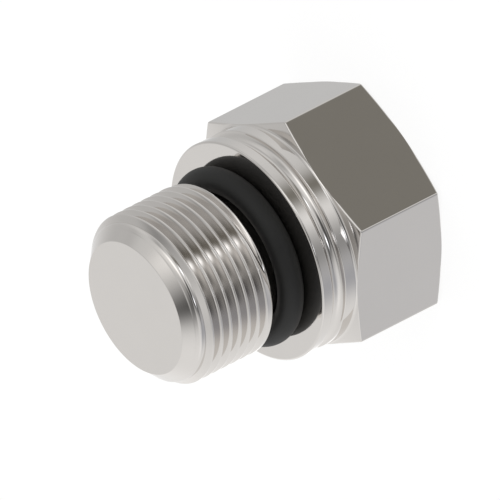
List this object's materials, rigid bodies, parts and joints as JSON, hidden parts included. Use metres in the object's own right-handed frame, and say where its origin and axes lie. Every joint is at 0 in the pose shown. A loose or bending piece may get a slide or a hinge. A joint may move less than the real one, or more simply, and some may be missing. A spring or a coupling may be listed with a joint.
{
  "type": "fitting plug",
  "caption": "Hex-head threaded plug with a flanged collar, a round groove and an O-ring on its neck, for closing a fluid port.",
  "frame": {"origin": "centre of the hexagon's flat outer face, on which the plug stands", "axes": "+Z along the plug's axis towards the threaded end; +X square to a wrench flat; +Y towards a corner of the hexagon"},
  "size_m": [0.0426, 0.049, 0.0534],
  "materials": {
    "steel": "bright turned steel",
    "rubber": "satin moulded rubber"
  },
  "bodies": {
    "root": {"plug_body": "steel", "o_ring": "rubber"}
  },
  "joints": []
}
